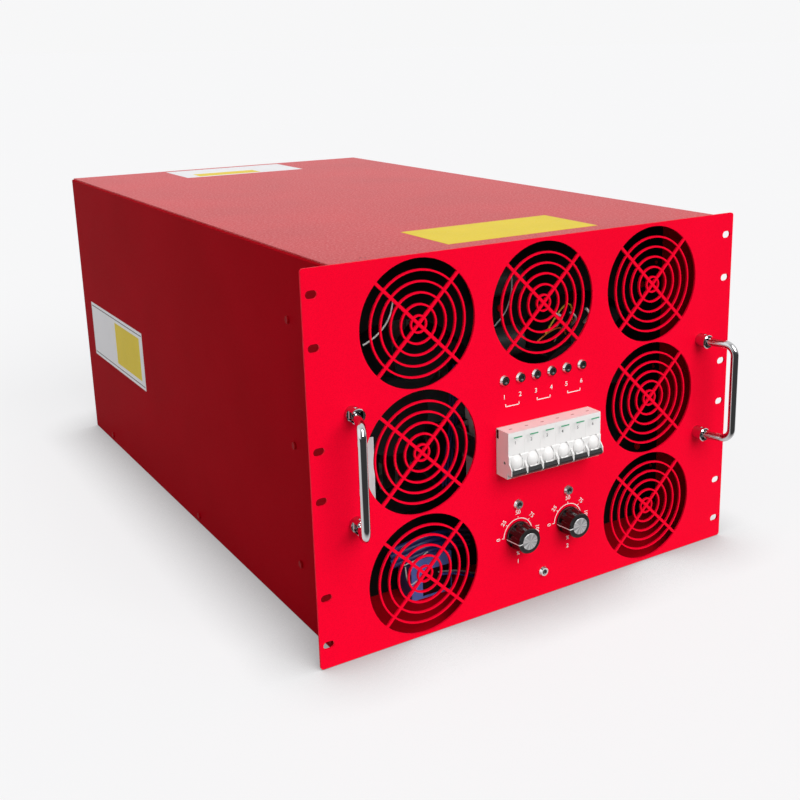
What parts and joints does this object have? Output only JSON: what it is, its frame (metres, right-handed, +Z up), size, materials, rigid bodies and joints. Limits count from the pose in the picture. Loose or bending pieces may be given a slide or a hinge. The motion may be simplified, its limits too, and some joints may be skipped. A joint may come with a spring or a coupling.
{
  "type": "generator load bank",
  "caption": "Rack-mounted resistive load bank in a deep red steel housing with round laser-cut intake grilles, a row of breakers, fan speed knobs and folding handles",
  "frame": {"origin": "centre of the body's flat underside, behind the front panel", "axes": "+Z up, +Y towards the back, +X to the right seen from the front; the control panel faces -Y"},
  "size_m": [0.4826, 0.8371, 0.3548],
  "materials": {
    "red_paint": "fine-textured red powder coat",
    "body_paint": "fine-textured darker red powder coat",
    "bare_steel": "plain rolled steel",
    "zinc_steel": "zinc-plated steel",
    "ceramic": "unglazed",
    "chrome": "bright polished plating",
    "lamp_lens": "dark tinted lens",
    "board": "green laminate",
    "black_plastic": "fine matt moulding",
    "brass": "plain turned",
    "dark_screw": "dark plated",
    "aluminium": "spun and drawn",
    "black_cast": "black-coated casting",
    "fan_plastic": "glass-filled moulding",
    "black_gloss": "moulded phenolic",
    "resistance_alloy": "heat-tinted alloy ribbon",
    "black_paint": "matt black powder coat",
    "blue_plastic": "moulded block",
    "white_plastic": "smooth moulding",
    "lever_black": "moulded"
  },
  "bodies": {
    "housing": {"front_panel": "red_paint", "side_left": "body_paint", "side_right": "body_paint", "floor_tray": "body_paint", "top_cover": "body_paint", "rear_panel": "body_paint", "fan_bulkhead": "black_paint", "element_frame": "bare_steel", "ceramic_rails": "ceramic", "din_rail": "zinc_steel", "terminal_block": "blue_plastic", "lamp_bezels": "chrome", "lamp_lenses": "lamp_lens", "speed_pots": "zinc_steel", "speed_boards": "board", "handle_posts": "chrome", "handle_pins": "bare_steel", "handle_nuts": "zinc_steel", "supply_inlets": "black_plastic", "inlet_blades": "brass", "earth_terminal": "brass", "sheet_screws": "dark_screw", "fan_capacitors": "aluminium", "thermal_cutout": "bare_steel", "fan_1_frame": "black_cast", "fan_2_frame": "black_cast", "element_1": "resistance_alloy", "breaker_1_case": "white_plastic", "element_2": "resistance_alloy", "breaker_2_case": "white_plastic", "element_3": "resistance_alloy", "breaker_3_case": "white_plastic", "element_4": "resistance_alloy", "breaker_4_case": "white_plastic", "element_5": "resistance_alloy", "breaker_5_case": "white_plastic", "element_6": "resistance_alloy", "breaker_6_case": "white_plastic"},
    "fan_rotor_1": {"fan_1_rotor": "fan_plastic"},
    "speed_knob_1": {"knob_1": "black_gloss", "knob_1_cap": "aluminium", "knob_1_shaft": "bare_steel"},
    "fan_rotor_2": {"fan_2_rotor": "fan_plastic"},
    "speed_knob_2": {"knob_2": "black_gloss", "knob_2_cap": "aluminium", "knob_2_shaft": "bare_steel"},
    "lever_1": {"breaker_1_drum": "white_plastic", "breaker_1_grip": "lever_black"},
    "lever_2": {"breaker_2_drum": "white_plastic", "breaker_2_grip": "lever_black"},
    "lever_3": {"breaker_3_drum": "white_plastic", "breaker_3_grip": "lever_black"},
    "lever_4": {"breaker_4_drum": "white_plastic", "breaker_4_grip": "lever_black"},
    "lever_5": {"breaker_5_drum": "white_plastic", "breaker_5_grip": "lever_black"},
    "lever_6": {"breaker_6_drum": "white_plastic", "breaker_6_grip": "lever_black"},
    "folding_handle_left": {"handle_left": "chrome"},
    "folding_handle_right": {"handle_right": "chrome"}
  },
  "joints": [
    {"name": "fan_1_spin", "type": "hinge", "parent": "housing", "child": "fan_rotor_1", "pos_m": [-0.1065, -0.263, 0.1774], "axis": [0, 1, 0], "continuous": true},
    {"name": "fan_2_spin", "type": "hinge", "parent": "housing", "child": "fan_rotor_2", "pos_m": [0.1065, -0.263, 0.1774], "axis": [0, 1, 0], "continuous": true},
    {"name": "breaker_1_toggle", "type": "hinge", "parent": "housing", "child": "lever_1", "pos_m": [-0.045, -0.4017, 0.1535], "axis": [-1, 0, 0], "range_deg": [0, 82]},
    {"name": "breaker_2_toggle", "type": "hinge", "parent": "housing", "child": "lever_2", "pos_m": [-0.027, -0.4017, 0.1535], "axis": [-1, 0, 0], "range_deg": [0, 82]},
    {"name": "breaker_3_toggle", "type": "hinge", "parent": "housing", "child": "lever_3", "pos_m": [-0.009, -0.4017, 0.1535], "axis": [-1, 0, 0], "range_deg": [0, 82]},
    {"name": "breaker_4_toggle", "type": "hinge", "parent": "housing", "child": "lever_4", "pos_m": [0.009, -0.4017, 0.1535], "axis": [-1, 0, 0], "range_deg": [0, 82]},
    {"name": "breaker_5_toggle", "type": "hinge", "parent": "housing", "child": "lever_5", "pos_m": [0.027, -0.4017, 0.1535], "axis": [-1, 0, 0], "range_deg": [0, 82]},
    {"name": "breaker_6_toggle", "type": "hinge", "parent": "housing", "child": "lever_6", "pos_m": [0.045, -0.4017, 0.1535], "axis": [-1, 0, 0], "range_deg": [0, 82]},
    {"name": "fan_1_speed", "type": "hinge", "parent": "housing", "child": "speed_knob_1", "pos_m": [-0.03, -0.3995, 0.072], "axis": [0, 1, 0], "range_deg": [0, 190]},
    {"name": "fan_2_speed", "type": "hinge", "parent": "housing", "child": "speed_knob_2", "pos_m": [0.03, -0.3995, 0.072], "axis": [0, 1, 0], "range_deg": [0, 190]},
    {"name": "handle_left_fold", "type": "hinge", "parent": "housing", "child": "folding_handle_left", "pos_m": [-0.201, -0.3975, 0.1774], "axis": [0, 0, 1], "range_deg": [-70, 20]},
    {"name": "handle_right_fold", "type": "hinge", "parent": "housing", "child": "folding_handle_right", "pos_m": [0.201, -0.3975, 0.1774], "axis": [0, 0, 1], "range_deg": [-20, 70]}
  ]
}
